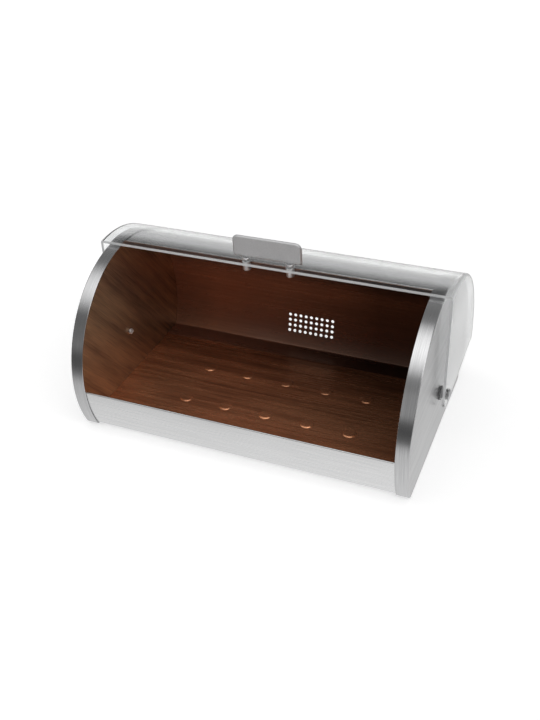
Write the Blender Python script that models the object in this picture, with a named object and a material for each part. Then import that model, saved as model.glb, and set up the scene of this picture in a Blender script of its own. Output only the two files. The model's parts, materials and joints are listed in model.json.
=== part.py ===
"""Bread box with a roll top: a steel drum cut flat underneath, open at the front, with a clear lid that
turns about the drum's own axis. The lid is modelled rolled back over the top, as it rests when open."""
import math

import bmesh
import bpy
from mathutils import Vector

MM = 0.001
GAP = 0.3 * MM                      # between faces that touch on the real object

# ---- driving dimensions -------------------------------------------------------------------------------
BODY_WIDTH = 390 * MM               # over the outer faces of the side panels
BODY_RADIUS = 127.7 * MM            # outer radius of the side panels' bands
FOOT_HEIGHT = 2 * MM                # the side panels' lower edges stand this far off the table
AXIS_ABOVE_EDGE = 58.4 * MM         # hinge axis above the side panels' lower edges
SHEET = 1.0 * MM
BAND_WIDTH = 15.4 * MM              # bent-in rim of a side panel
BEND_RADIUS = 2.0 * MM
CORNER_RADIUS = 5.0 * MM            # where the drum meets its flat underside
STRIP_TOP_ANGLE = -1.9              # degrees up from straight ahead, seen from the right
TOP_EDGE_ANGLE = 88.8               # front edge of the top
HEM_DEPTH = 7 * MM

LID_RADIUS = 132.9 * MM
LID_WALL = 3.0 * MM
LID_HALF_WIDTH = 203.8 * MM
LID_FRONT_ANGLE = 82.2              # front edge of the open lid
LID_SPAN = 100.0                    # degrees of arc
HUB_RADIUS = 15 * MM                # rounded end of a cheek

VENT_COLUMNS = 9
VENT_ROWS = 4
VENT_PITCH = 7.2 * MM
VENT_RADIUS = 2.0 * MM
VENT_TOP_ANGLE = 186.7              # highest row of vents, low on the back

BUMP_RADIUS = 8.5 * MM
BUMP_HEIGHT = 1.2 * MM
BUMP_PITCH = 51.6 * MM
BUMP_ROW_Y = (-34 * MM, 34 * MM)

HANDLE_WIDTH = 80 * MM
HANDLE_HEIGHT = 25.7 * MM
HANDLE_THICKNESS = 4 * MM
HANDLE_CORNER = 7 * MM
HANDLE_ANGLE = 86.3                 # where the handle stands on the open lid
HANDLE_STAND_OFF = 2.9 * MM
STUD_SPACING = 51 * MM
STUD_RADIUS = 1.1 * MM
NUT_RADIUS = 4.6 * MM
NUT_LENGTH = 9.5 * MM

PIVOT_SHANK_RADIUS = 2.5 * MM
PIVOT_HEAD_RADIUS = 5.8 * MM
BUSH_FLANGE_RADIUS = 8.0 * MM
BUSH_COLLAR_RADIUS = 5.6 * MM
CAP_WASHER_RADIUS = 6.6 * MM
BUSH_SLEEVE_RADIUS = 4.2 * MM
INNER_WASHER_RADIUS = 3.9 * MM
CAP_NUT_RADIUS = 3.4 * MM

FOOT_RADIUS = 9 * MM
FOOT_X = 160 * MM
FOOT_Y = 82 * MM

ARC_STEP = 2.5                      # degrees per facet on the large arcs

# ---- derived dimensions -------------------------------------------------------------------------------
HALF_WIDTH = BODY_WIDTH / 2
AXIS_Z = FOOT_HEIGHT + AXIS_ABOVE_EDGE
WRAP_RADIUS = BODY_RADIUS - SHEET - GAP             # outer face of the sheets inside the bands
WRAP_FLOOR = FOOT_HEIGHT + SHEET + GAP              # underside of the floor sheet
WRAP_HALF_WIDTH = HALF_WIDTH - SHEET - GAP
CHEEK_INNER = LID_HALF_WIDTH - LID_WALL
REAR_REACH = LID_RADIUS * math.cos(math.radians(LID_FRONT_ANGLE + LID_SPAN - 180))
AXIS_Y = (BODY_RADIUS - REAR_REACH) / 2             # puts the origin under the middle of the open box


def arc(centre, radius, start, end, steps):
    """Points (y, z) on an arc; 0 degrees is straight ahead (-Y), 90 is up, 180 is back."""
    angles = [math.radians(start + (end - start) * i / steps) for i in range(steps + 1)]
    return [(centre[0] - radius * math.cos(a), centre[1] + radius * math.sin(a)) for a in angles]


def steps_for(start, end):
    return max(2, round(abs(end - start) / ARC_STEP))


def material(name, colour, metallic, roughness, alpha=1.0):
    mat = bpy.data.materials.get(name)
    if mat is None:
        mat = bpy.data.materials.new(name)
        mat.use_nodes = True
        shader = mat.node_tree.nodes["Principled BSDF"]
        shader.inputs["Base Color"].default_value = (*colour, 1)
        shader.inputs["Metallic"].default_value = metallic
        shader.inputs["Roughness"].default_value = roughness
        shader.inputs["Alpha"].default_value = alpha
    return mat


def brushed_steel():
    return material("brushed_steel", (0.62, 0.62, 0.62), 1.0, 0.32)


def satin_grey():
    return material("satin_grey", (0.33, 0.33, 0.33), 1.0, 0.42)


def clear_acrylic():
    return material("clear_acrylic", (0.90, 0.92, 0.93), 0.0, 0.05, 0.35)


def clear_silicone():
    return material("clear_silicone", (0.72, 0.73, 0.74), 0.0, 0.35, 0.7)


def chrome():
    return material("chrome", (0.75, 0.75, 0.76), 1.0, 0.10)


def black_nylon():
    return material("black_nylon", (0.02, 0.02, 0.022), 0.0, 0.45)


def grey_rubber():
    return material("grey_rubber", (0.06, 0.06, 0.06), 0.0, 0.80)


def loft(rings, closed=False):
    """A solid through rings of equal length: capped at both ends, or closed round on itself."""
    bm = bmesh.new()
    verts = [[bm.verts.new(p) for p in ring] for ring in rings]
    count = len(rings[0])
    pairs = list(zip(verts, verts[1:]))
    if closed:
        pairs.append((verts[-1], verts[0]))
    for lower, upper in pairs:
        for i in range(count):
            j = (i + 1) % count
            bm.faces.new((lower[i], lower[j], upper[j], upper[i]))
    if not closed:
        bm.faces.new(verts[0])
        bm.faces.new(verts[-1])
    bmesh.ops.recalc_face_normals(bm, faces=bm.faces)
    return bm


def outline_ring(points, x):
    return [Vector((x, y, z)) for y, z in points]


def turned(profile, segments=28, closed=False):
    """A piece turned about its own X axis from (x, radius) pairs."""
    angles = [2 * math.pi * i / segments for i in range(segments)]
    rings = [[Vector((x, r * math.cos(a), r * math.sin(a))) for a in angles] for x, r in profile]
    return loft(rings, closed)


def finish(name, bm, mat, sharp_degrees=32):
    mesh = bpy.data.meshes.new(name)
    bm.to_mesh(mesh)
    bm.free()
    mesh.materials.append(mat)
    mesh.shade_smooth()
    mesh.set_sharp_from_angle(angle=math.radians(sharp_degrees))
    obj = bpy.data.objects.new(name, mesh)
    bpy.context.collection.objects.link(obj)
    return obj


def cutter(name, bm):
    mesh = bpy.data.meshes.new(name)
    bm.to_mesh(mesh)
    bm.free()
    obj = bpy.data.objects.new(name, mesh)
    obj.hide_render = True
    obj.display_type = "WIRE"
    bpy.context.collection.objects.link(obj)
    return obj


def boolean(obj, tool, operation="DIFFERENCE"):
    mod = obj.modifiers.new(tool.name, "BOOLEAN")
    mod.object = tool
    mod.operation = operation
    mod.solver = "EXACT"


def join(meshes):
    """One bmesh holding several that don't touch."""
    whole = bmesh.new()
    for bm in meshes:
        part = bpy.data.meshes.new("part")
        bm.to_mesh(part)
        bm.free()
        whole.from_mesh(part)
        bpy.data.meshes.remove(part)
    return whole


def rod(radius, start, end, segments=24):
    """A plain cylinder between two points, used as a cutter."""
    axis = (end - start).normalized()
    turn = Vector((1, 0, 0)).rotation_difference(axis)
    rings = []
    for centre in (start, end):
        angles = [2 * math.pi * i / segments for i in range(segments)]
        rings.append([centre + turn @ Vector((0, radius * math.cos(a), radius * math.sin(a))) for a in angles])
    return loft(rings)


def radial(angle, distance):
    """The (y, z) offset from the hinge axis at an angle and a distance."""
    a = math.radians(angle)
    return -distance * math.cos(a), distance * math.sin(a)


# ---- drum -----------------------------------------------------------------------------------------------
def corner_of(radius, floor, corner):
    """Centre (y > 0) of the round between the drum and its flat underside, and its angle from the axis."""
    z = floor + corner
    y = math.sqrt((radius - corner) ** 2 - (AXIS_Z - z) ** 2)
    below = math.degrees(math.atan2(AXIS_Z - z, y))
    return y, z, below


def drum_outline(inset):
    """The closed outline of a side panel, moved in by inset."""
    y, z, below = corner_of(BODY_RADIUS, FOOT_HEIGHT, CORNER_RADIUS)
    round_radius = CORNER_RADIUS - inset
    points = arc((0, AXIS_Z), BODY_RADIUS - inset, -below, 180 + below, steps_for(-below, 180 + below))
    points += arc((y, z), round_radius, 180 + below, 270, 4)[1:]
    points += arc((-y, z), round_radius, -90, -below, 4)[:-1]
    return points


def side_panel(name, side):
    """A pan pressed from sheet: flat D-shaped face, rounded edge and a band bent inwards all round."""
    bend = [math.radians(90 * i / 3) for i in range(4)]
    section = [(HALF_WIDTH - BEND_RADIUS + BEND_RADIUS * math.cos(a), BEND_RADIUS - BEND_RADIUS * math.sin(a))
               for a in bend]
    section += [(HALF_WIDTH - BAND_WIDTH, 0), (HALF_WIDTH - BAND_WIDTH, SHEET), (HALF_WIDTH - SHEET, SHEET)]
    rings = [outline_ring(drum_outline(inset), side * x) for x, inset in section]
    panel = finish(name, loft(rings), brushed_steel())
    hole = rod(PIVOT_SHANK_RADIUS + GAP, Vector((side * (HALF_WIDTH - 5 * SHEET), 0, AXIS_Z)),
               Vector((side * (HALF_WIDTH + 5 * SHEET), 0, AXIS_Z)))
    boolean(panel, cutter(name + "_pivot_hole", hole))
    return panel


def hem(radius, edge_angle, towards):
    """Points round a folded edge: over the sheet's end and back under it, ending on its inner face."""
    turn = math.degrees(HEM_DEPTH / radius) * towards
    tip = math.degrees(SHEET / radius) * towards
    outer, inner, folded = radius, radius - SHEET, radius - 2 * SHEET
    points = [radial(edge_angle + tip, outer), radial(edge_angle, outer - SHEET / 2),
              radial(edge_angle, folded + SHEET / 2), radial(edge_angle + tip, folded),
              radial(edge_angle + turn / 2, folded), radial(edge_angle + turn, folded),
              radial(edge_angle + turn, inner)]
    return [(y, AXIS_Z + z) for y, z in points]


def base_panel():
    """Front strip and floor from one sheet, with a folded upper edge; raised round bumps in the floor."""
    y, z, below = corner_of(WRAP_RADIUS, WRAP_FLOOR, CORNER_RADIUS)
    tip = math.degrees(SHEET / WRAP_RADIUS)
    turn = math.degrees(HEM_DEPTH / WRAP_RADIUS)
    rear_edge = y - 2 * MM
    outer = [(rear_edge, WRAP_FLOOR)]
    outer += arc((-y, z), CORNER_RADIUS, -90, -below, 5)[:-1]
    outer += arc((0, AXIS_Z), WRAP_RADIUS, -below, STRIP_TOP_ANGLE - tip, 11)[:-1]
    inner = arc((0, AXIS_Z), WRAP_RADIUS - SHEET, STRIP_TOP_ANGLE - turn, -below, 9)[1:]
    inner += arc((-y, z), CORNER_RADIUS - SHEET, -below, -90, 5)[1:]
    inner += [(rear_edge, WRAP_FLOOR + SHEET)]
    points = outer + hem(WRAP_RADIUS, STRIP_TOP_ANGLE, -1) + inner
    panel = finish("base_panel", loft([outline_ring(points, x) for x in (-WRAP_HALF_WIDTH, WRAP_HALF_WIDTH)]),
                   brushed_steel())
    boolean(panel, cutter("base_panel_bumps", floor_bumps()), "UNION")
    return panel


def floor_bumps():
    """Low flat-topped rounds in two rows, sunk a little into the floor sheet."""
    top = WRAP_FLOOR + SHEET + BUMP_HEIGHT
    profile = [(1.0, WRAP_FLOOR + SHEET / 2), (1.0, WRAP_FLOOR + SHEET), (0.9, top - BUMP_HEIGHT * 0.25),
               (0.75, top)]
    angles = [2 * math.pi * i / 16 for i in range(16)]
    rounds = []
    for row in BUMP_ROW_Y:
        for column in range(-2, 3):
            rings = []
            for spread, z in profile:
                radius = spread * BUMP_RADIUS
                rings.append([Vector((column * BUMP_PITCH + radius * math.cos(a), row + radius * math.sin(a), z))
                              for a in angles])
            rounds.append(loft(rings))
    return join(rounds)


def rear_panel():
    """Back and top from one rolled sheet: folded front edge on top, vents low down, a flange on the floor."""
    floor = WRAP_FLOOR + SHEET + GAP
    y, z, below = corner_of(WRAP_RADIUS, floor, CORNER_RADIUS)
    tip = math.degrees(SHEET / WRAP_RADIUS)
    turn = math.degrees(HEM_DEPTH / WRAP_RADIUS)
    front_edge = y - 22 * MM
    end = 180 + below
    outer = arc((0, AXIS_Z), WRAP_RADIUS, TOP_EDGE_ANGLE + tip, end, steps_for(TOP_EDGE_ANGLE, end))[1:]
    outer += arc((y, z), CORNER_RADIUS, end, 270, 4)[1:]
    outer += [(front_edge, floor)]
    inner = [(front_edge, floor + SHEET)]
    inner += arc((y, z), CORNER_RADIUS - SHEET, 270, end, 4)
    inner += arc((0, AXIS_Z), WRAP_RADIUS - SHEET, end, TOP_EDGE_ANGLE + turn,
                 steps_for(TOP_EDGE_ANGLE + turn, end))[1:-1]
    folded = hem(WRAP_RADIUS, TOP_EDGE_ANGLE, 1)
    points = folded[::-1] + outer + inner
    panel = finish("rear_panel", loft([outline_ring(points, x) for x in (-WRAP_HALF_WIDTH, WRAP_HALF_WIDTH)]),
                   brushed_steel())
    boolean(panel, cutter("rear_panel_vents", vent_cutters()))
    return panel


def vent_cutters():
    """A block of small round holes, each square to the rolled sheet."""
    row_angle = math.degrees(VENT_PITCH / WRAP_RADIUS)
    rods = []
    for row in range(VENT_ROWS):
        angle = VENT_TOP_ANGLE + row * row_angle
        for column in range(VENT_COLUMNS):
            x = (column - (VENT_COLUMNS - 1) / 2) * VENT_PITCH
            ends = []
            for distance in (WRAP_RADIUS - 4 * SHEET, WRAP_RADIUS + 3 * SHEET):
                dy, dz = radial(angle, distance)
                ends.append(Vector((x, dy, AXIS_Z + dz)))
            rods.append(rod(VENT_RADIUS, *ends, segments=10))
    return join(rods)


def foot(name, x, y):
    """Moulded foot stuck under the floor, with a chamfered tread."""
    profile = [(0, FOOT_RADIUS - 1.2 * MM), (0.8 * MM, FOOT_RADIUS), (WRAP_FLOOR - GAP, FOOT_RADIUS)]
    piece = finish(name, turned(profile), grey_rubber())
    piece.rotation_euler = (0, math.radians(-90), 0)
    piece.location = (x, y, 0)
    return piece


# ---- pivots: all turned about the hinge axis, drawn for the right side ---------------------------------
def pivot_piece(name, side, bm, mat):
    piece = finish(name, bm, mat)
    piece.location = (0, 0, AXIS_Z)
    if side < 0:
        piece.rotation_euler = (0, 0, math.pi)
    return piece


def pivots(label, side):
    flange_outer = CHEEK_INNER - GAP
    sleeve_end = LID_HALF_WIDTH + 0.4 * MM
    cap_washer_end = sleeve_end + GAP + 0.5 * MM
    head_seat = cap_washer_end + GAP
    bore = PIVOT_SHANK_RADIUS + GAP
    inner_face = HALF_WIDTH - SHEET

    flange_step = HALF_WIDTH + 2.6 * MM
    bush = [(HALF_WIDTH + GAP, bore), (HALF_WIDTH + GAP, BUSH_FLANGE_RADIUS), (flange_step, BUSH_FLANGE_RADIUS),
            (flange_step, BUSH_COLLAR_RADIUS), (flange_outer, BUSH_COLLAR_RADIUS),
            (flange_outer, BUSH_SLEEVE_RADIUS), (sleeve_end, BUSH_SLEEVE_RADIUS), (sleeve_end, bore)]
    pivot_piece("pivot_bush_" + label, side, turned(bush, closed=True), black_nylon())

    washer = [(sleeve_end + GAP, bore), (sleeve_end + GAP, CAP_WASHER_RADIUS),
              (cap_washer_end, CAP_WASHER_RADIUS), (cap_washer_end, bore)]
    pivot_piece("pivot_cap_washer_" + label, side, turned(washer, closed=True), black_nylon())

    washer_inner = inner_face - GAP
    washer_end = washer_inner - 0.6 * MM
    washer = [(washer_end, bore), (washer_end, INNER_WASHER_RADIUS), (washer_inner, INNER_WASHER_RADIUS),
              (washer_inner, bore)]
    pivot_piece("pivot_inner_washer_" + label, side, turned(washer, closed=True), chrome())

    nut_face = washer_end - GAP
    nut_tip = nut_face - 2.6 * MM
    shank_end = nut_tip + 1.2 * MM
    dome = [(0.0, 1.0), (0.35, 0.98), (0.65, 0.86), (0.86, 0.62), (0.97, 0.33)]
    head_height = 1.7 * MM
    screw = [(shank_end, PIVOT_SHANK_RADIUS), (head_seat, PIVOT_SHANK_RADIUS)]
    screw += [(head_seat + h * head_height, r * PIVOT_HEAD_RADIUS) for h, r in dome]
    pivot_piece("pivot_screw_" + label, side, turned(screw), chrome())

    nut = [(shank_end - GAP, bore), (nut_face, bore), (nut_face, CAP_NUT_RADIUS),
           (nut_tip + 0.9 * MM, CAP_NUT_RADIUS), (nut_tip + 0.3 * MM, CAP_NUT_RADIUS * 0.85),
           (nut_tip, CAP_NUT_RADIUS * 0.5)]
    pivot_piece("pivot_nut_" + label, side, turned(nut), chrome())


# ---- lid: every piece hangs on an empty at the hinge axis ----------------------------------------------
def cheek_outline(radius):
    """A cheek seen from the side, about the hinge axis: outer arc, two straight edges and a round hub."""
    front_edge = LID_FRONT_ANGLE + math.degrees(math.asin(HUB_RADIUS / LID_RADIUS))
    back_edge = LID_FRONT_ANGLE + LID_SPAN - math.degrees(math.asin(HUB_RADIUS / LID_RADIUS))
    taper = math.degrees(math.asin(HUB_RADIUS / radius))
    points = arc((0, 0), radius, front_edge - taper, back_edge + taper, round(LID_SPAN / ARC_STEP))
    points += arc((0, 0), HUB_RADIUS, back_edge + 90, front_edge + 270, 14)
    return points


def lid_shell(hinge):
    """Clear canopy and cheeks in one moulding, with a rounded edge between them."""
    section = [(LID_HALF_WIDTH, LID_WALL), (LID_HALF_WIDTH - 0.4 * MM, LID_WALL * 0.5),
               (LID_HALF_WIDTH - 1.5 * MM, LID_WALL * 0.13), (CHEEK_INNER, 0)]
    levels = section + [(-x, inset) for x, inset in reversed(section)]
    rings = [outline_ring(cheek_outline(LID_RADIUS - inset), x) for x, inset in levels]
    shell = finish("lid_shell", loft(rings), clear_acrylic())
    shell.parent = hinge

    steps = round(360 / ARC_STEP)
    inside = arc((0, 0), LID_RADIUS - LID_WALL, LID_FRONT_ANGLE, LID_FRONT_ANGLE + 360, steps)[:-1]
    tools = [cutter("lid_inside", loft([outline_ring(inside, x) for x in (-CHEEK_INNER, CHEEK_INNER)]))]
    holes = [rod(BUSH_SLEEVE_RADIUS + GAP, Vector((s * (CHEEK_INNER - LID_WALL), 0, 0)),
                 Vector((s * (LID_HALF_WIDTH + LID_WALL), 0, 0)), 32) for s in (-1, 1)]
    out = Vector((0, *radial(HANDLE_ANGLE, 1)))
    for s in (-1, 1):
        foot_point = Vector((s * STUD_SPACING / 2, 0, 0))
        holes.append(rod(STUD_RADIUS + GAP, foot_point + out * (LID_RADIUS - 3 * LID_WALL),
                         foot_point + out * (LID_RADIUS + 2 * LID_WALL), 20))
    tools.append(cutter("lid_holes", join(holes)))
    for tool in tools:
        tool.parent = hinge
        boolean(shell, tool)
    return shell


def rounded_rectangle(width, height, corner):
    """Points (x, z) of a plate outline standing on z = 0; the lower corners are only just broken."""
    points = []
    lower = 1.2 * MM
    for cx, cz, r, start in ((width / 2 - corner, height - corner, corner, 0),
                             (-width / 2 + corner, height - corner, corner, 90),
                             (-width / 2 + lower, lower, lower, 180),
                             (width / 2 - lower, lower, lower, 270)):
        for i in range(6):
            a = math.radians(start + 90 * i / 5)
            points.append((cx + r * math.cos(a), cz + r * math.sin(a)))
    return points


def handle_plate(hinge):
    """Upright tab with a bevelled rim, tapped twice in its lower edge."""
    half = HANDLE_THICKNESS / 2
    bevel = 1.3 * MM
    base = LID_RADIUS + HANDLE_STAND_OFF
    rings = []
    for y, inset in ((-half, bevel), (-half + bevel * 0.4, bevel * 0.25), (-half + bevel, 0), (half - bevel, 0),
                     (half - bevel * 0.4, bevel * 0.25), (half, bevel)):
        outline = rounded_rectangle(HANDLE_WIDTH - 2 * inset, HANDLE_HEIGHT - 2 * inset, HANDLE_CORNER - inset)
        rings.append([Vector((x, y, base + inset + z)) for x, z in outline])
    plate = finish("handle_plate", loft(rings), satin_grey(), 20)
    plate.parent = hinge
    plate.rotation_euler = (math.radians(90 - HANDLE_ANGLE), 0, 0)
    holes = [rod(STUD_RADIUS + GAP, Vector((s * STUD_SPACING / 2, 0, base - 1 * MM)),
                 Vector((s * STUD_SPACING / 2, 0, base + 9 * MM)), 20) for s in (-1, 1)]
    tool = cutter("handle_plate_holes", join(holes))
    tool.parent = hinge
    tool.rotation_euler = plate.rotation_euler
    boolean(plate, tool)


def handle_piece(name, side, hinge, bm, mat):
    """A piece turned about a handle stud; its profile's x is the distance out from the hinge axis."""
    piece = finish(name, bm, mat)
    piece.parent = hinge
    piece.rotation_mode = "ZYX"
    piece.rotation_euler = (math.radians(90 - HANDLE_ANGLE), math.radians(-90), 0)
    piece.location = (side * STUD_SPACING / 2, 0, 0)


def handle_fixings(label, side, hinge):
    inside = LID_RADIUS - LID_WALL
    bore = STUD_RADIUS + GAP
    plate_base = LID_RADIUS + HANDLE_STAND_OFF
    seal_end = inside - GAP - 0.8 * MM
    nut_face = seal_end - GAP
    stud_end = nut_face - 5.5 * MM

    stud = [(stud_end, STUD_RADIUS), (plate_base + 8 * MM, STUD_RADIUS)]
    handle_piece("handle_stud_" + label, side, hinge, turned(stud, 16), chrome())

    spacer = [(LID_RADIUS + GAP, bore), (LID_RADIUS + GAP, NUT_RADIUS), (plate_base - GAP, NUT_RADIUS),
              (plate_base - GAP, bore)]
    handle_piece("handle_spacer_" + label, side, hinge, turned(spacer, 24, closed=True), satin_grey())

    seal = [(seal_end, bore), (seal_end, NUT_RADIUS), (inside - GAP, NUT_RADIUS), (inside - GAP, bore)]
    handle_piece("handle_seal_" + label, side, hinge, turned(seal, 24, closed=True), clear_silicone())

    tip = nut_face - NUT_LENGTH
    nut = [(stud_end - GAP, bore), (nut_face, bore), (nut_face, NUT_RADIUS), (tip + 2.4 * MM, NUT_RADIUS),
           (tip + 1.2 * MM, NUT_RADIUS * 0.92), (tip + 0.4 * MM, NUT_RADIUS * 0.7), (tip, NUT_RADIUS * 0.35)]
    handle_piece("handle_nut_" + label, side, hinge, turned(nut, 24), satin_grey())


def build():
    for obj in list(bpy.data.objects):
        bpy.data.objects.remove(obj, do_unlink=True)

    hinge = bpy.data.objects.new("lid_hinge_axis", None)
    hinge.location = (0, 0, AXIS_Z)
    bpy.context.collection.objects.link(hinge)

    base_panel()
    rear_panel()
    lid_shell(hinge)
    handle_plate(hinge)
    for label, side in (("left", -1), ("right", 1)):
        side_panel("side_panel_" + label, side)
        pivots(label, side)
        handle_fixings(label, side, hinge)
        foot("foot_front_" + label, side * FOOT_X, -FOOT_Y)
        foot("foot_rear_" + label, side * FOOT_X, FOOT_Y)

    centre = bpy.data.objects.new("box_centre", None)
    centre.location = (0, AXIS_Y, 0)
    bpy.context.collection.objects.link(centre)
    for obj in bpy.data.objects:
        if obj.parent is None and obj is not centre:
            obj.parent = centre


build()
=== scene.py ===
"""Looks for the bread box: brushed steel drum, clear moulded lid, satin handle, studio light."""
import json
import math

import bmesh
import bpy
from mathutils import Matrix, Vector
from mathutils.geometry import delaunay_2d_cdt


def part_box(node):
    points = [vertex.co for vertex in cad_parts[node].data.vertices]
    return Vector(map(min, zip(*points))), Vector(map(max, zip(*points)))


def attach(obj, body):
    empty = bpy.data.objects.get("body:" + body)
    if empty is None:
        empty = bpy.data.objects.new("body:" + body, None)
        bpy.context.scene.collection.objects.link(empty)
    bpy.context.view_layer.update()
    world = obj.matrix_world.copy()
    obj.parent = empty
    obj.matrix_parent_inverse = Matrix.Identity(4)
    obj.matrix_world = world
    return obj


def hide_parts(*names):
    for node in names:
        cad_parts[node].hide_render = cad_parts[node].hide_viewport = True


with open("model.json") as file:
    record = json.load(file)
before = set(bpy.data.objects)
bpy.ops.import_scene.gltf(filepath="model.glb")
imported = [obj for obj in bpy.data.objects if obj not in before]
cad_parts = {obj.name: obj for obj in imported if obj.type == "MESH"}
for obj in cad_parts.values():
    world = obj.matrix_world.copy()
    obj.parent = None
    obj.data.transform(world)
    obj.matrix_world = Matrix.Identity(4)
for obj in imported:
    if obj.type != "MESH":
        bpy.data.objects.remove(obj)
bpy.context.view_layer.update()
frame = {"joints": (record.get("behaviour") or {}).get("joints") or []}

MM = 0.001
JOINT = frame["joints"][0]
AXIS = Vector(JOINT["pos_m"])                       # hinge line, through the middle of the drum
SIDES = (("left", -1), ("right", 1))

# ---- sizes read from the frame -------------------------------------------------------------------------
PANEL_LOW, PANEL_HIGH = (Vector(v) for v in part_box("side_panel_right"))
BASE_LOW, BASE_HIGH = (Vector(v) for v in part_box("base_panel"))
PLATE_LOW, PLATE_HIGH = (Vector(v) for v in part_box("handle_plate"))
REAR_HIGH = Vector(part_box("rear_panel")[1])
LID_HIGH = Vector(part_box("lid_shell")[1])

HALF_WIDTH = PANEL_HIGH.x
BAND_WIDTH = PANEL_HIGH.x - PANEL_LOW.x
BODY_RADIUS = PANEL_HIGH.z - AXIS.z
EDGE_Z = PANEL_LOW.z
WRAP_HALF = BASE_HIGH.x
WRAP_RADIUS = REAR_HIGH.z - AXIS.z
FLOOR_Z = BASE_LOW.z
LID_HALF = LID_HIGH.x
LID_RADIUS = LID_HIGH.z - AXIS.z

# ---- sizes that the boxes do not give ------------------------------------------------------------------
# Angles are degrees round the drum's axis: 0 is straight ahead, 90 is up and 180 is back.
SHEET = 1.0 * MM
GAP = 0.3 * MM                                      # clearance between pieces that touch on the real box
CORNER = 5.0 * MM                                   # round between the drum and its flat underside
BEND = 2.0 * MM                                     # round between a side panel's face and its band
STRIP_TOP = -1.9                                    # upper edge of the front strip
TOP_EDGE = 88.8                                     # front edge of the top
HEM_DEPTH = 7 * MM                                  # how far a folded edge lies back on its sheet
FLOOR_REACH = 22 * MM                               # how far the rear panel runs forward under the box

VENT_RADIUS, VENT_PITCH = 2.0 * MM, 7.2 * MM
VENT_ROWS, VENT_COLUMNS = 4, 9
VENT_TOP = 186.7                                    # highest row of vents
BUMP_RADIUS, BUMP_HEIGHT = 8.5 * MM, 1.2 * MM
BUMP_PITCH, BUMP_ROW = 51.6 * MM, 34 * MM
FOOT_RADIUS, FOOT_X, FOOT_Y = 9 * MM, 160 * MM, 82 * MM

PIVOT_BORE = 2.8 * MM
SHANK_RADIUS, HEAD_RADIUS, HEAD_HEIGHT = 2.5 * MM, 5.8 * MM, 1.7 * MM
FLANGE_RADIUS, COLLAR_RADIUS, SLEEVE_RADIUS = 8 * MM, 5.6 * MM, 4.2 * MM
FLANGE_THICKNESS = 2.6 * MM                         # from the side panel to the flange's outer face
CAP_WASHER_RADIUS, CAP_WASHER_THICKNESS = 6.6 * MM, 0.5 * MM
INNER_WASHER_RADIUS, INNER_WASHER_THICKNESS = 3.9 * MM, 0.6 * MM
CAP_RADIUS, CAP_HEIGHT = 3.4 * MM, 2.6 * MM         # nut inside the box

LID_WALL = 3.0 * MM
LID_FRONT, LID_SPAN = 82.2, 100.0                   # front edge of the open lid, and its arc
HUB = 15 * MM                                       # rounded end of a cheek
LID_TILT = math.degrees(math.asin(HUB / LID_RADIUS))  # lean of its straight edges, which touch the hub
LID_PIVOT_HOLE = 4.5 * MM
HANDLE_ANGLE = 86.3                                 # where the handle stands on the open lid
HANDLE_HEIGHT, HALF_HANDLE = 25.7 * MM, 2.0 * MM    # tab height, half its thickness
STAND_OFF = 2.9 * MM                                # from the lid to the tab
STUD_X, STUD_RADIUS, STUD_BORE = 25.5 * MM, 1.1 * MM, 1.4 * MM
STUD_IN_TAB, STUD_IN_NUT = 8 * MM, 5.5 * MM
LEG_RADIUS, LEG_LENGTH = 4.6 * MM, 9.5 * MM         # the nuts under the lid
SEAL_THICKNESS = 0.8 * MM


# ---- studio --------------------------------------------------------------------------------------------
def look_camera():
    """A camera ahead, to the right and above, at about a metre, tilted a little."""
    azimuth, elevation, roll = math.radians(23.54), math.radians(34.02), math.radians(-2.43)
    distance = 1.0408
    target = Vector((-0.0062, AXIS.y, 0.0587))
    back = Vector((math.sin(azimuth) * math.cos(elevation), -math.cos(azimuth) * math.cos(elevation),
                   math.sin(elevation)))
    right = (-back).cross(Vector((0, 0, 1))).normalized()
    up = right.cross(-back)
    tilted_right = right * math.cos(roll) + up * math.sin(roll)
    tilted_up = up * math.cos(roll) - right * math.sin(roll)
    turn = Matrix((tilted_right, tilted_up, back)).transposed()
    data = bpy.data.cameras.new("camera")
    data.lens = 44.4
    data.clip_end = 50
    camera = bpy.data.objects.new("camera", data)
    camera.matrix_world = Matrix.Translation(target + back * distance) @ turn.to_4x4()
    bpy.context.collection.objects.link(camera)
    bpy.context.scene.camera = camera


def node(tree, kind, **values):
    made = tree.nodes.new(kind)
    for key, value in values.items():
        setattr(made, key, value)
    return made


def ramp_points(ramp, points):
    """Sets a colour ramp from (position, grey or colour) pairs."""
    elements = ramp.color_ramp.elements
    while len(elements) > 1:
        elements.remove(elements[-1])
    for index, (position, colour) in enumerate(points):
        if not hasattr(colour, "__len__"):
            colour = (colour, colour, colour)
        element = elements[0] if index == 0 else elements.new(position)
        element.position = position
        element.color = (*colour, 1)


# What the metal mirrors, by the angle round the drum's axis: a white table below 0, a dark room beyond
# its front edge, a grey wall ahead, a broad soft light overhead, and a dim wall behind.
RIGHT_STUDIO = ((-180, 0.72), (-165, 0.64), (-150, 0.70), (-138, 0.88), (-60, 0.88), (-32, 0.80),
                (-25, 0.62), (-19, 0.16), (-8, 0.09), (0, 0.14), (8, 0.44), (28, 0.42), (35, 0.30),
                (44, 0.34), (53, 1.00), (62, 1.45), (71, 1.72), (86, 1.42), (95, 0.85), (102, 0.27),
                (114, 0.21), (128, 0.28), (133, 0.26), (138, 0.11), (146, 0.12), (150, 0.32), (156, 0.74),
                (180, 0.72))
LEFT_STUDIO = ((-180, 0.72), (-165, 0.64), (-150, 0.68), (-138, 0.84), (-60, 0.78), (-33, 0.60),
               (-24, 0.26), (-15, 0.10), (0, 0.09), (10, 0.20), (20, 0.14), (46, 0.12), (54, 0.36),
               (62, 0.80), (74, 1.10), (88, 0.97), (97, 0.62), (105, 0.24), (114, 0.19), (128, 0.28),
               (133, 0.26), (138, 0.11), (146, 0.12), (150, 0.32), (156, 0.74), (180, 0.72))
BRIGHTEST = 2.0


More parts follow.
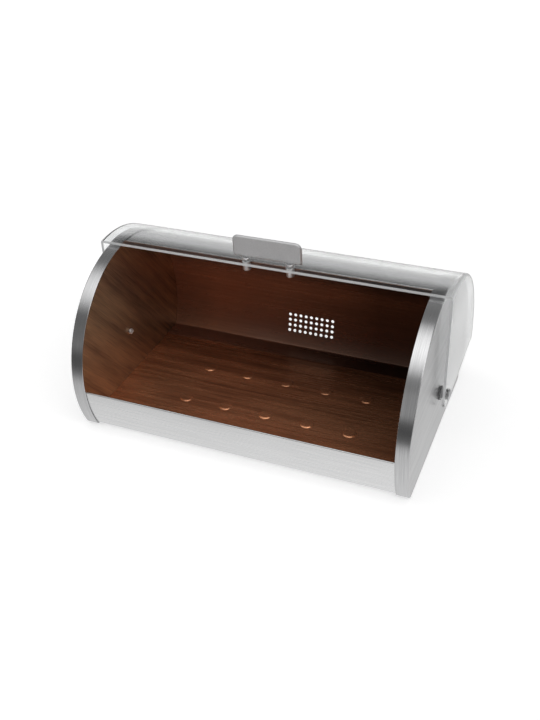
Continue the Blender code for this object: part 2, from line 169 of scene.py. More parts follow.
def studio_ramp(tree, unit, brightness):
    ramp = node(tree, "ShaderNodeValToRGB")
    ramp_points(ramp, [((degrees + 180) / 360, level / BRIGHTEST) for degrees, level in brightness])
    tree.links.new(unit, ramp.inputs[0])
    return ramp.outputs["Color"]


def studio_world():
    """The studio by direction, a little dimmer towards the left. White paper is what shows straight behind
    the box, also through its clear lid; metal mirrors the room."""
    world = bpy.data.worlds.new("studio")
    bpy.context.scene.world = world
    world.use_nodes = True
    tree = world.node_tree
    tree.nodes.clear()
    coords = node(tree, "ShaderNodeTexCoord")
    split = node(tree, "ShaderNodeSeparateXYZ")
    tree.links.new(coords.outputs["Generated"], split.inputs[0])
    forward = node(tree, "ShaderNodeMath", operation="MULTIPLY")
    forward.inputs[1].default_value = -1
    tree.links.new(split.outputs["Y"], forward.inputs[0])
    turn = node(tree, "ShaderNodeMath", operation="ARCTAN2")
    tree.links.new(split.outputs["Z"], turn.inputs[0])
    tree.links.new(forward.outputs[0], turn.inputs[1])
    unit = node(tree, "ShaderNodeMath", operation="MULTIPLY_ADD")
    unit.inputs[1].default_value = 1 / (2 * math.pi)
    unit.inputs[2].default_value = 0.5
    tree.links.new(turn.outputs[0], unit.inputs[0])
    sides = node(tree, "ShaderNodeMix", data_type="RGBA")
    tree.links.new(map_range(tree, split.outputs["X"], -0.17, -0.5), sides.inputs["Factor"])
    tree.links.new(studio_ramp(tree, unit.outputs[0], RIGHT_STUDIO), sides.inputs["A"])
    tree.links.new(studio_ramp(tree, unit.outputs[0], LEFT_STUDIO), sides.inputs["B"])
    room = node(tree, "ShaderNodeBackground")
    room.inputs["Strength"].default_value = BRIGHTEST
    tree.links.new(sides.outputs["Result"], room.inputs["Color"])
    paper = node(tree, "ShaderNodeBackground")
    paper.inputs["Color"].default_value = (1, 1, 1, 1)
    paper.inputs["Strength"].default_value = 1.05
    rays = node(tree, "ShaderNodeLightPath")
    mirrored = map_range(tree, rays.outputs["Glossy Depth"], 0, 1, 1, 0)
    through = node(tree, "ShaderNodeMath", operation="MULTIPLY")
    tree.links.new(rays.outputs["Is Transmission Ray"], through.inputs[0])
    tree.links.new(mirrored, through.inputs[1])
    seen = node(tree, "ShaderNodeMath", operation="MAXIMUM")
    tree.links.new(rays.outputs["Is Camera Ray"], seen.inputs[0])
    tree.links.new(through.outputs[0], seen.inputs[1])
    mix = node(tree, "ShaderNodeMixShader")
    tree.links.new(seen.outputs[0], mix.inputs[0])
    tree.links.new(room.outputs[0], mix.inputs[1])
    tree.links.new(paper.outputs[0], mix.inputs[2])
    out = node(tree, "ShaderNodeOutputWorld")
    tree.links.new(mix.outputs[0], out.inputs["Surface"])


def studio_floor():
    """White paper under and behind the box. The metal mirrors the studio's own table instead of it."""
    mesh = bpy.data.meshes.new("floor")
    bm = bmesh.new()
    bmesh.ops.create_grid(bm, x_segments=1, y_segments=1, size=60)
    bm.to_mesh(mesh)
    bm.free()
    floor = bpy.data.objects.new("floor", mesh)
    floor.visible_glossy = False
    bpy.context.collection.objects.link(floor)
    mat = bpy.data.materials.new("floor_paper")
    mat.use_nodes = True
    shader = mat.node_tree.nodes["Principled BSDF"]
    shader.inputs["Base Color"].default_value = (0.90, 0.90, 0.90, 1)
    shader.inputs["Roughness"].default_value = 0.9
    shader.inputs["Specular IOR Level"].default_value = 0.0
    shader.inputs["Emission Color"].default_value = (1, 1, 1, 1)
    shader.inputs["Emission Strength"].default_value = 0.48
    mesh.materials.append(mat)


# ---- materials -----------------------------------------------------------------------------------------
def new_material(name):
    mat = bpy.data.materials.new(name)
    mat.use_nodes = True
    return mat, mat.node_tree, mat.node_tree.nodes["Principled BSDF"]


def object_coords(tree):
    return node(tree, "ShaderNodeTexCoord").outputs["Object"]


def rolled_coords(tree):
    """Coordinates laid flat on the drum: x along its width, y the distance round it, z the radius."""
    shifted = node(tree, "ShaderNodeVectorMath", operation="SUBTRACT")
    shifted.inputs[1].default_value = AXIS
    tree.links.new(object_coords(tree), shifted.inputs[0])
    split = node(tree, "ShaderNodeSeparateXYZ")
    tree.links.new(shifted.outputs[0], split.inputs[0])
    turn = node(tree, "ShaderNodeMath", operation="ARCTAN2")
    tree.links.new(split.outputs["Y"], turn.inputs[0])
    tree.links.new(split.outputs["Z"], turn.inputs[1])
    round_way = node(tree, "ShaderNodeMath", operation="MULTIPLY")
    round_way.inputs[1].default_value = BODY_RADIUS
    tree.links.new(turn.outputs[0], round_way.inputs[0])
    joined = node(tree, "ShaderNodeCombineXYZ")
    tree.links.new(split.outputs["X"], joined.inputs["X"])
    tree.links.new(round_way.outputs[0], joined.inputs["Y"])
    return joined.outputs[0]


def noise(tree, coords, scale, detail=3.0, stretch=(1, 1, 1), turn=(0, 0, 0)):
    """Noise drawn out into lines along the axis whose stretch is small, after a turn of the axes."""
    mapping = node(tree, "ShaderNodeMapping")
    mapping.vector_type = "TEXTURE"
    mapping.inputs["Rotation"].default_value = turn
    scaled = node(tree, "ShaderNodeVectorMath", operation="MULTIPLY")
    scaled.inputs[1].default_value = stretch
    tree.links.new(coords, mapping.inputs[0])
    tree.links.new(mapping.outputs[0], scaled.inputs[0])
    texture = node(tree, "ShaderNodeTexNoise")
    texture.inputs["Scale"].default_value = scale
    texture.inputs["Detail"].default_value = detail
    tree.links.new(scaled.outputs[0], texture.inputs["Vector"])
    return texture.outputs["Fac"]


def map_range(tree, value, low, high, to_low=0.0, to_high=1.0):
    made = node(tree, "ShaderNodeMapRange")
    made.inputs["From Min"].default_value = low
    made.inputs["From Max"].default_value = high
    made.inputs["To Min"].default_value = to_low
    made.inputs["To Max"].default_value = to_high
    tree.links.new(value, made.inputs["Value"])
    return made.outputs["Result"]


def add(tree, first, second, weight=1.0):
    """first + weight * second"""
    made = node(tree, "ShaderNodeMath", operation="MULTIPLY_ADD")
    made.inputs[1].default_value = weight
    tree.links.new(second, made.inputs[0])
    tree.links.new(first, made.inputs[2])
    return made.outputs[0]


def brushed(name, colour, dark, roughness, stretch, turn=(0, 0, 0), rolled=False, smooth_way=0.0, bump=0.10,
            metallic=1.0, grain_and_painted_reflection_streaks=0.0, painted_shade=None):
    """Brushed sheet: fine broken lines, wider soft streaks and faint handling marks in the gloss.
    Painted shade: the last argument darkens the colour one way: (direction, from, to, what is left of the
    colour there)."""
    mat, tree, shader = new_material(name)
    coords = rolled_coords(tree) if rolled else object_coords(tree)
    fine = noise(tree, coords, 1500, 1.0, stretch, turn)
    wide = noise(tree, coords, 260, 2.0, stretch, turn)
    cloud = noise(tree, object_coords(tree), 11, 3.0)
    lines = add(tree, map_range(tree, fine, 0, 1, 0, 0.55), wide, 0.45)
    mixed = add(tree, lines, cloud, 0.25)
    # Drift streaks: painted reflection on the floor and back wall, grain on the side walls.
    if grain_and_painted_reflection_streaks:
        drift = noise(tree, coords, 60, 1.0, [max(s, 0.12) for s in stretch], turn)
        mixed = add(tree, mixed, map_range(tree, drift, 0.3, 0.7, -0.5, 0.5), grain_and_painted_reflection_streaks)
    tone = node(tree, "ShaderNodeValToRGB")
    ramp_points(tone, [(0.40, dark), (0.85, colour)])
    tree.links.new(mixed, tone.inputs[0])
    shade = tone.outputs["Color"]
    # Painted shade: the colour darkens along one direction.
    if painted_shade:
        direction, start, end, left_over = painted_shade
        way = node(tree, "ShaderNodeVectorMath", operation="DOT_PRODUCT")
        way.inputs[1].default_value = direction
        tree.links.new(object_coords(tree), way.inputs[0])
        scaled = node(tree, "ShaderNodeVectorMath", operation="SCALE")
        tree.links.new(shade, scaled.inputs[0])
        level = map_range(tree, way.outputs["Value"], start, end, 1, left_over)
        tree.links.new(level, scaled.inputs["Scale"])
        shade = scaled.outputs[0]
    tree.links.new(shade, shader.inputs["Base Color"])
    shader.inputs["Metallic"].default_value = metallic
    rough = map_range(tree, mixed, 0.40, 0.85, roughness + 0.05, roughness - 0.05)
    tree.links.new(rough, shader.inputs["Roughness"])
    if smooth_way:
        shader.inputs["Anisotropic"].default_value = smooth_way
        shader.inputs["Anisotropic Rotation"].default_value = 0.25
        tangent = node(tree, "ShaderNodeTangent", direction_type="RADIAL", axis="X")
        tree.links.new(tangent.outputs[0], shader.inputs["Tangent"])
    relief = node(tree, "ShaderNodeBump")
    relief.inputs["Strength"].default_value = bump
    relief.inputs["Distance"].default_value = 0.0001
    tree.links.new(lines, relief.inputs["Height"])
    tree.links.new(relief.outputs[0], shader.inputs["Normal"])
    return mat


def satin(name, colour, roughness, metallic, grain=700, bump=0.12):
    """Fine even texture, as on a blasted casting or moulded part, with lighter edges: partly wear, partly a
    painted highlight.
    """
    mat, tree, shader = new_material(name)
    coords = object_coords(tree)
    speckle = noise(tree, coords, grain, 2.0)
    cloud = noise(tree, coords, 30, 3.0)
    mixed = add(tree, map_range(tree, speckle, 0, 1, 0, 0.6), cloud, 0.4)
    # Lighter colour on sharp edges: partly wear, partly a painted edge highlight.
    edge = node(tree, "ShaderNodeNewGeometry").outputs["Pointiness"]
    wear_and_painted_highlight = map_range(tree, edge, 0.52, 0.60, 0, 0.35)
    tone = node(tree, "ShaderNodeValToRGB")
    ramp_points(tone, [(0.30, [c * 0.86 for c in colour]), (0.70, colour),
                       (1.0, [min(1, c * 1.5 + 0.05) for c in colour])])
    tree.links.new(add(tree, mixed, wear_and_painted_highlight), tone.inputs[0])
    tree.links.new(tone.outputs["Color"], shader.inputs["Base Color"])
    shader.inputs["Metallic"].default_value = metallic
    tree.links.new(map_range(tree, mixed, 0.3, 0.7, roughness + 0.06, roughness - 0.06),
                   shader.inputs["Roughness"])
    relief = node(tree, "ShaderNodeBump")
    relief.inputs["Strength"].default_value = bump
    relief.inputs["Distance"].default_value = 0.00005
    tree.links.new(speckle, relief.inputs["Height"])
    tree.links.new(relief.outputs[0], shader.inputs["Normal"])
    return mat


def clear_plastic(name, colour, roughness):
    """Clear moulding with a trace of flow waviness and faint wiping marks in its gloss."""
    mat, tree, shader = new_material(name)
    coords = object_coords(tree)
    shader.inputs["Base Color"].default_value = (*colour, 1)
    shader.inputs["Transmission Weight"].default_value = 1.0
    shader.inputs["IOR"].default_value = 1.55
    wipes = noise(tree, coords, 60, 3.0, (1, 0.3, 0.3))
    rough = map_range(tree, wipes, 0.35, 0.7, roughness, roughness + 0.05)
    tree.links.new(rough, shader.inputs["Roughness"])
    relief = node(tree, "ShaderNodeBump")
    relief.inputs["Strength"].default_value = 0.05
    relief.inputs["Distance"].default_value = 0.0004
    tree.links.new(noise(tree, coords, 14, 1.0), relief.inputs["Height"])
    tree.links.new(relief.outputs[0], shader.inputs["Normal"])
    return mat


def frosted_plastic(name):
    """The moulding's cut edges: finely ground, so they glow instead of showing what is behind."""
    mat, tree, shader = new_material(name)
    ground = noise(tree, object_coords(tree), 1800, 2.0)
    shader.inputs["Base Color"].default_value = (0.90, 0.905, 0.91, 1)
    shader.inputs["Transmission Weight"].default_value = 0.35
    shader.inputs["IOR"].default_value = 1.5
    tree.links.new(map_range(tree, ground, 0.3, 0.7, 0.42, 0.58), shader.inputs["Roughness"])
    relief = node(tree, "ShaderNodeBump")
    relief.inputs["Strength"].default_value = 0.2
    relief.inputs["Distance"].default_value = 0.00005
    tree.links.new(ground, relief.inputs["Height"])
    tree.links.new(relief.outputs[0], shader.inputs["Normal"])
    return mat


# ---- mesh helpers --------------------------------------------------------------------------------------
def arc(centre, radius, start, end, steps):
    """(y, z) points; 0 degrees is straight ahead (-Y), 90 is up, 180 is back."""
    angles = [math.radians(start + (end - start) * i / steps) for i in range(steps + 1)]
    return [(centre[0] - radius * math.cos(a), centre[1] + radius * math.sin(a)) for a in angles]


def radial(angle, distance):
    """(y, z) from the hinge axis at an angle and a distance."""
    a = math.radians(angle)
    return -distance * math.cos(a), distance * math.sin(a)


def ring_at(points, x):
    """Points (y, z) about the hinge axis as a ring in the plane at x."""
    return [Vector((x, y + AXIS.y, z + AXIS.z)) for y, z in points]


def loft(rings, closed=False, strips=None, sides=None):
    """A skin through rings of equal length, closed round or capped. Material indexes come from strips
    (one per gap between rings) or sides (one per edge of a ring)."""
    bm = bmesh.new()
    verts = [[bm.verts.new(p) for p in ring] for ring in rings]
    pairs = list(zip(verts, verts[1:]))
    if closed:
        pairs.append((verts[-1], verts[0]))
    count = len(rings[0])
    for strip, (lower, upper) in enumerate(pairs):
        for i in range(count):
            j = (i + 1) % count
            face = bm.faces.new((lower[i], lower[j], upper[j], upper[i]))
            if strips:
                face.material_index = strips[strip]
            if sides:
                face.material_index = sides[i]
    if not closed:
        for cap, strip in ((verts[0], 0), (verts[-1], -1)):
            face = bm.faces.new(cap)
            if strips:
                face.material_index = strips[strip]
    bmesh.ops.recalc_face_normals(bm, faces=bm.faces)
    return bm


def turned(profile, segments=48, closed=False):
    """A piece turned about X from (x, radius) pairs."""
    angles = [2 * math.pi * i / segments for i in range(segments)]
    rings = [[Vector((x, r * math.cos(a), r * math.sin(a))) for a in angles] for x, r in profile]
    return loft(rings, closed)


def join(meshes):
    whole = bmesh.new()
    for bm in meshes:
        part = bpy.data.meshes.new("part")
        bm.to_mesh(part)
        bm.free()
        whole.from_mesh(part)
        bpy.data.meshes.remove(part)
    return whole


def rod(radius, start, end, segments=32):
    axis = (end - start).normalized()
    turn = Vector((1, 0, 0)).rotation_difference(axis)
    rings = []
    for centre in (start, end):
        ring = []
        for i in range(segments):
            a = 2 * math.pi * i / segments
            ring.append(centre + turn @ Vector((0, radius * math.cos(a), radius * math.sin(a))))
        rings.append(ring)
    return loft(rings)


def block(centre, size):
    """A plain block, used to cut a slot."""
    bm = bmesh.new()
    bmesh.ops.create_cube(bm, size=1, matrix=Matrix.Translation(centre) @ Matrix.Diagonal((*size, 1)))
    return bm


def carve(bm, cutters):
    """The mesh with the cutters taken out of it."""
    piece = raw_object("carved", bm)
    tools = [raw_object("tool", cutter) for cutter in cutters]
    for tool in tools:
        mod = piece.modifiers.new("cut", "BOOLEAN")
        mod.object = tool
        mod.solver = "EXACT"
    return applied(piece, tools)


def raw_object(name, bm):
    mesh = bpy.data.meshes.new(name)
    bm.to_mesh(mesh)
    bm.free()
    obj = bpy.data.objects.new(name, mesh)
    bpy.context.collection.objects.link(obj)
    return obj


def applied(piece, tools=()):
    """The mesh that the object's modifiers make, as a bmesh; the object and its tools go."""
    graph = bpy.context.evaluated_depsgraph_get()
    mesh = bpy.data.meshes.new_from_object(piece.evaluated_get(graph))
    result = bmesh.new()
    result.from_mesh(mesh)
    for obj in (piece, *tools):
        bpy.data.objects.remove(obj, do_unlink=True)
    return result


def bevelled(bm, width, segments=2, angle=50):
    piece = raw_object("bevelled", bm)
    mod = piece.modifiers.new("bevel", "BEVEL")
    mod.width = width
    mod.segments = segments
    mod.limit_method = "ANGLE"
    mod.angle_limit = math.radians(angle)
    return applied(piece)


def finish_piece(name, bm, mats, body, sharp=30, weighted=False):
    """A piece that stands for the CAD node of the same name, without the _look at its end."""
    mesh = bpy.data.meshes.new(name)
    bm.to_mesh(mesh)
    bm.free()
    for mat in mats:
        mesh.materials.append(mat)
    mesh.shade_smooth()
    mesh.set_sharp_from_angle(angle=math.radians(sharp))
    piece = bpy.data.objects.new(name, mesh)
    bpy.context.collection.objects.link(piece)
    if weighted:
        mod = piece.modifiers.new("flat_faces", "WEIGHTED_NORMAL")
        mod.keep_sharp = True
    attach(piece, body)
    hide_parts(name.replace("_look", ""))


# ---- drum ----------------------------------------------------------------------------------------------
def corner_of(radius, floor, corner):
    """Centre of the round between the drum and its flat underside, and how far below the axis it starts."""
    z = floor + corner - AXIS.z
    y = math.sqrt((radius - corner) ** 2 - z ** 2)
    return y, z, math.degrees(math.atan2(-z, y))


def drum_outline(inset):
    y, z, below = corner_of(BODY_RADIUS, EDGE_Z, CORNER)
    points = arc((0, 0), BODY_RADIUS - inset, -below, 180 + below, 240)
    points += arc((y, z), CORNER - inset, 180 + below, 270, 10)[1:]
    points += arc((-y, z), CORNER - inset, -90, -below, 10)[:-1]
    return points


def side_panel(label, side, band, face, inside):
    """Pressed pan: flat face, rounded edge, band bent inwards with a rounded cut edge."""
    angles = [math.radians(90 * i / 8) for i in range(9)]
    centre = HALF_WIDTH - BEND
    flat_from = BEND + 0.8 * MM
    section = [(HALF_WIDTH, flat_from)]
    section += [(centre + BEND * math.cos(a), BEND - BEND * math.sin(a)) for a in angles]
    edge, soft = HALF_WIDTH - BAND_WIDTH, 0.3 * MM
    section += [(edge + soft, 0), (edge, soft), (edge, SHEET - soft), (edge + soft, SHEET)]
    inner = BEND - SHEET
    section += [(centre + inner * math.cos(a), BEND - inner * math.sin(a)) for a in reversed(angles)]
    section += [(HALF_WIDTH - SHEET, flat_from)]
    on_face, on_band = 3, 11
    strips = [1] * on_face + [0] * on_band + [2] * (len(section) - 1 - on_face - on_band)
    rings = [ring_at(drum_outline(inset), side * x) for x, inset in section]
    bm = loft(rings, strips=strips)
    ends = [Vector((side * (HALF_WIDTH + reach), AXIS.y, AXIS.z)) for reach in (-10 * MM, 10 * MM)]
    bm = carve(bm, [rod(PIVOT_BORE, *ends)])
    finish_piece(f"side_panel_{label}_look", bm, [band, face, inside], "box", weighted=True)


def hem(radius, edge_angle, towards):
    """Points round a folded edge, from just after its outer face to the end of the fold inside."""
    turn = math.degrees(HEM_DEPTH / radius) * towards
    points = []
    for along, across in arc((0, 0), SHEET, 0, 180, 8)[1:]:
        angle = edge_angle + math.degrees((SHEET - across) / radius) * towards
        points.append(radial(angle, radius - SHEET - along))
    points += [radial(edge_angle + turn * k / 3, radius - 2 * SHEET) for k in (1, 2, 3)]
    points.append(radial(edge_angle + turn, radius - SHEET))
    return points


def sheet_piece(name, outer, inner, folded, at_start, mats, cutters=(), columns=(), floor_patch=None):
    """Rolled sheet along the width. outer, folded and inner are runs of its outline, in order."""
    points = (folded + outer + inner) if at_start else (outer + folded + inner)
    outside_count = len(points) - len(inner) - 1
    sides = [0] * outside_count + [1] * (len(inner) + 1)
    rings = [ring_at(points, x) for x in (-WRAP_HALF, *columns, WRAP_HALF)]
    bm = loft(rings, sides=sides)
    if floor_patch:
        floor_patch(bm)
    if cutters:
        bm = carve(bm, cutters)
    finish_piece(name, bm, mats, "box", weighted=True)


def base_panel(outside, inside):
    floor = FLOOR_Z
    y, z, below = corner_of(WRAP_RADIUS, floor, CORNER)
    tip = math.degrees(SHEET / WRAP_RADIUS)
    turn = math.degrees(HEM_DEPTH / WRAP_RADIUS)
    rear_edge = BASE_HIGH.y - AXIS.y
    outer = [(rear_edge, floor - AXIS.z)]
    outer += arc((-y, z), CORNER, -90, -below, 12)[:-1]
    outer += arc((0, 0), WRAP_RADIUS, -below, STRIP_TOP - tip, 26)
    inner = arc((0, 0), WRAP_RADIUS - SHEET, STRIP_TOP - turn, -below, 20)[1:]
    inner += arc((-y, z), CORNER - SHEET, -below, -90, 12)[1:]
    inner += [(rear_edge, floor + SHEET - AXIS.z)]
    floor_front = -y + AXIS.y
    floor_back = rear_edge + AXIS.y

    def patch(bm):
        swap_floor(bm, floor_front, floor_back, floor + SHEET)

    sheet_piece("base_panel_look", outer, inner, hem(WRAP_RADIUS, STRIP_TOP, -1), False,
                [outside, inside], floor_patch=patch)


def swap_floor(bm, front, back, height):
    """Takes the plain upper face of the floor out and puts in one with pressed round bumps."""
    plain = [f for f in bm.faces if all(abs(v.co.z - height) < 1e-6 for v in f.verts)]
    bmesh.ops.delete(bm, geom=plain, context="FACES_ONLY")
    segments = 32
    centres = [(column * BUMP_PITCH, row * BUMP_ROW + AXIS.y) for row in (-1, 1) for column in range(-2, 3)]
    corners = [(-WRAP_HALF, front), (WRAP_HALF, front), (WRAP_HALF, back), (-WRAP_HALF, back)]
    points = [Vector(p) for p in corners]
    edges = [(i, (i + 1) % 4) for i in range(4)]
    for cx, cy in centres:
        first = len(points)
        for i in range(segments):
            a = 2 * math.pi * i / segments
            points.append(Vector((cx + BUMP_RADIUS * math.cos(a), cy + BUMP_RADIUS * math.sin(a))))
            edges.append((first + i, first + (i + 1) % segments))
    flat, _, faces, *_ = delaunay_2d_cdt(points, edges, [], 0, 1e-7)
    verts = [bm.verts.new((p.x, p.y, height)) for p in flat]
    for face in faces:
        middle = sum((flat[i] for i in face), Vector((0, 0))) / len(face)
        if all((middle - Vector(c)).length > BUMP_RADIUS * 0.995 for c in centres):
            bm.faces.new([verts[i] for i in face]).material_index = 1
    dome = [(1.0, 0.0), (0.97, 0.08), (0.93, 0.32), (0.89, 0.62), (0.84, 0.84), (0.77, 0.95), (0.6, 1.0),
            (0.2, 1.0)]
    for cx, cy in centres:
        rings = []
        for spread, rise in dome:
            ring = []
            for i in range(segments):
                a = 2 * math.pi * i / segments
                x = cx + BUMP_RADIUS * spread * math.cos(a)
                y = cy + BUMP_RADIUS * spread * math.sin(a)
                ring.append(bm.verts.new((x, y, height + rise * BUMP_HEIGHT)))
            rings.append(ring)
        for lower, upper in zip(rings, rings[1:]):
            for i in range(segments):
                j = (i + 1) % segments
                bm.faces.new((lower[i], lower[j], upper[j], upper[i])).material_index = 1
        bm.faces.new(rings[-1]).material_index = 1
    bmesh.ops.remove_doubles(bm, verts=bm.verts, dist=1e-5)
    bmesh.ops.recalc_face_normals(bm, faces=bm.faces)


def rear_panel(outside, inside):
    floor = FLOOR_Z + SHEET + GAP
    y, z, below = corner_of(WRAP_RADIUS, floor, CORNER)
    tip = math.degrees(SHEET / WRAP_RADIUS)
    turn = math.degrees(HEM_DEPTH / WRAP_RADIUS)
    front_edge = y - FLOOR_REACH
    end = 180 + below
    outer = arc((0, 0), WRAP_RADIUS, TOP_EDGE + tip, end, 120)
    outer += arc((y, z), CORNER, end, 270, 12)[1:]
    outer += [(front_edge, floor - AXIS.z)]
    inner = [(front_edge, floor + SHEET - AXIS.z)]
    inner += arc((y, z), CORNER - SHEET, 270, end, 12)
    inner += arc((0, 0), WRAP_RADIUS - SHEET, end, TOP_EDGE + turn, 112)[1:-1]
    vents = []
    for row in range(VENT_ROWS):
        angle = VENT_TOP + row * math.degrees(VENT_PITCH / WRAP_RADIUS)
        for column in range(VENT_COLUMNS):
            x = (column - (VENT_COLUMNS - 1) / 2) * VENT_PITCH
            ends = [Vector((x, dy + AXIS.y, dz + AXIS.z)) for dy, dz in
                    (radial(angle, WRAP_RADIUS - 4 * MM), radial(angle, WRAP_RADIUS + 3 * MM))]
            vents.append(rod(VENT_RADIUS, *ends, segments=20))
    folded = hem(WRAP_RADIUS, TOP_EDGE, 1)[::-1]
    sheet_piece("rear_panel_look", outer, inner, folded, True, [outside, inside], [join(vents)],
                columns=(-40 * MM, 40 * MM))


def foot(label, x, y, mat):
    radius = FOOT_RADIUS
    top = FLOOR_Z - GAP
    profile = [(0, radius * 0.3), (0, radius - 1.4 * MM), (0.15 * MM, radius - 0.8 * MM),
               (0.5 * MM, radius - 0.3 * MM), (1.0 * MM, radius - 0.05 * MM), (top - 0.4 * MM, radius),
               (top, radius - 0.4 * MM), (top, radius * 0.3)]
    bm = turned(profile)
    bm.transform(Matrix.Translation((x, y, 0)) @ Matrix.Rotation(math.radians(-90), 4, "Y"))
    finish_piece(f"foot_{label}_look", bm, [mat], "box")


# ---- pivots --------------------------------------------------------------------------------------------
def at_pivot(name, side, bm, mats):
    place = Matrix.Translation(AXIS)
    if side < 0:
        place = place @ Matrix.Rotation(math.pi, 4, "Z")
    bm.transform(place)
    finish_piece(name, bm, mats, "box")


def washer_profile(low, high, bore, radius, soft):
    return [(low, bore), (low, radius - soft), (low + soft, radius), (high - soft, radius),
            (high, radius - soft), (high, bore)]


def dome_profile(start, height, radius, steps=8, last=80):
    """Points up a quarter-round end, the way its height's sign says."""
    angles = [math.radians(last * i / steps) for i in range(1, steps + 1)]
    return [(start + height * math.sin(a), radius * math.cos(a)) for a in angles]


def pivots(label, side, mats):
    flange_outer = LID_HALF - LID_WALL - GAP
    sleeve_end = LID_HALF + 0.4 * MM
    washer_end = sleeve_end + GAP + CAP_WASHER_THICKNESS
    seat = washer_end + GAP
    bore, flange, collar, sleeve = PIVOT_BORE, FLANGE_RADIUS, COLLAR_RADIUS, SLEEVE_RADIUS
    step = HALF_WIDTH + FLANGE_THICKNESS
    soft = 0.3 * MM
    bush = [(HALF_WIDTH + GAP, bore), (HALF_WIDTH + GAP, flange), (step - 0.5 * MM, flange),
            (step - 0.15 * MM, flange - 0.15 * MM), (step, flange - 0.5 * MM),
            (step, collar + soft), (step + soft, collar),
            (flange_outer - soft, collar), (flange_outer, collar - soft), (flange_outer, sleeve),
            (sleeve_end - 0.2 * MM, sleeve), (sleeve_end, sleeve - 0.2 * MM), (sleeve_end, bore)]
    bm = turned_in_two(bush, 2)
    at_pivot(f"pivot_bush_{label}_look", side, bm, [mats["nylon"], mats["grey_nylon"]])

    washer = washer_profile(sleeve_end + GAP, washer_end, bore, CAP_WASHER_RADIUS, 0.15 * MM)
    at_pivot(f"pivot_cap_washer_{label}_look", side, turned(washer, closed=True), [mats["grey_nylon"]])

    face = HALF_WIDTH - SHEET - GAP
    end = face - INNER_WASHER_THICKNESS
    washer = washer_profile(end, face, bore, INNER_WASHER_RADIUS, 0.15 * MM)
    at_pivot(f"pivot_inner_washer_{label}_look", side, turned(washer, closed=True), [mats["chrome"]])

    nut_face = end - GAP
    nut_tip = nut_face - CAP_HEIGHT
    tip = nut_tip + 1.2 * MM
    rim = 0.2 * MM
    screw = [(tip, SHANK_RADIUS - 0.3 * MM), (tip + 0.3 * MM, SHANK_RADIUS), (seat, SHANK_RADIUS),
             (seat, HEAD_RADIUS - rim), (seat + rim, HEAD_RADIUS)]
    screw += [(seat + rim + (HEAD_HEIGHT - rim) * math.sin(a), HEAD_RADIUS * math.cos(a) ** 0.7)
              for a in [math.radians(85 * i / 9) for i in range(1, 10)]]
    slot = block((seat + HEAD_HEIGHT, 0, 0), (1.4 * MM, 1.1 * MM, 6.4 * MM))
    at_pivot(f"pivot_screw_{label}_look", side, carve(turned(screw), [slot]), [mats["satin_steel"]])

    cap = CAP_RADIUS
    nut = [(tip - GAP, bore), (nut_face, bore), (nut_face, cap - 0.2 * MM), (nut_face - 0.2 * MM, cap),
           (nut_tip + 0.9 * MM, cap)]
    nut += dome_profile(nut_tip + 0.9 * MM, -0.9 * MM, cap, 6, 55)
    nut += [(nut_tip + 0.35 * MM, cap * 0.42), (nut_tip + 0.7 * MM, cap * 0.3)]
    at_pivot(f"pivot_nut_{label}_look", side, turned(nut), [mats["plated"]])


def turned_in_two(profile, split):
    """A closed turned piece that takes its second material beyond one of the profile's points."""
    bm = turned(profile, closed=True)
    border = profile[split][0]
    for face in bm.faces:
        face.material_index = 1 if face.calc_center_median().x > border + 0.01 * MM else 0
    return bm


# ---- lid -----------------------------------------------------------------------------------------------
def cheek_outline(radius):
    """A sector with a rounded hub; its straight edges touch the hub and meet the rim at the lid's ends."""
    front_edge, back_edge = LID_FRONT + LID_TILT, LID_FRONT + LID_SPAN - LID_TILT
    taper = math.degrees(math.asin(HUB / radius))
    points = arc((0, 0), radius, front_edge - taper, back_edge + taper, 100)
    points += arc((0, 0), HUB, back_edge + 90, front_edge + 270, 40)
    return points


def lid_zone(centre):
    """0 on the clear walls, 1 on the ground straight edges and the rounded rim beside each cheek."""
    y, z = centre.y - AXIS.y, centre.z - AXIS.z
    for angle, sign in ((LID_FRONT + LID_TILT, -1), (LID_FRONT + LID_SPAN - LID_TILT, 1)):
        a = math.radians(angle)
        if sign * (y * math.sin(a) + z * math.cos(a)) > HUB - 0.4 * MM:
            return 1
    if math.hypot(y, z) > LID_RADIUS - LID_WALL and abs(centre.x) > LID_HALF - LID_WALL:
        return 1
    return 0


def lid_shell(mats):
    """Canopy and cheeks in one moulding, with a rounded rim between them and softened edges."""
    angles = [math.radians(90 * i / 6) for i in range(7)]
    inner = LID_HALF - LID_WALL
    section = [(inner + LID_WALL * math.cos(a), LID_WALL - LID_WALL * math.sin(a)) for a in angles]
    levels = section + [(-x, inset) for x, inset in reversed(section)]
    bm = loft([ring_at(cheek_outline(LID_RADIUS - inset), x) for x, inset in levels])
    inside = arc((0, 0), LID_RADIUS - LID_WALL, LID_FRONT, LID_FRONT + 360, 360)[:-1]
    cutters = [loft([ring_at(inside, x) for x in (-inner, inner)])]
    out = Vector((0, *radial(HANDLE_ANGLE, 1)))
    holes = []
    for _, side in SIDES:
        ends = [AXIS + Vector((side * x, 0, 0)) for x in (inner - 10 * MM, LID_HALF + 10 * MM)]
        holes.append(rod(LID_PIVOT_HOLE, *ends, segments=48))
        stud = AXIS + Vector((side * STUD_X, 0, 0))
        ends = [stud + out * (LID_RADIUS + reach) for reach in (-20 * MM, 20 * MM)]
        holes.append(rod(STUD_BORE, *ends))
    cutters.append(join(holes))
    bm = bevelled(carve(bm, cutters), 0.35 * MM)
    for face in bm.faces:
        face.material_index = lid_zone(face.calc_center_median())
    finish_piece("lid_shell_look", bm, mats, "lid", weighted=True)


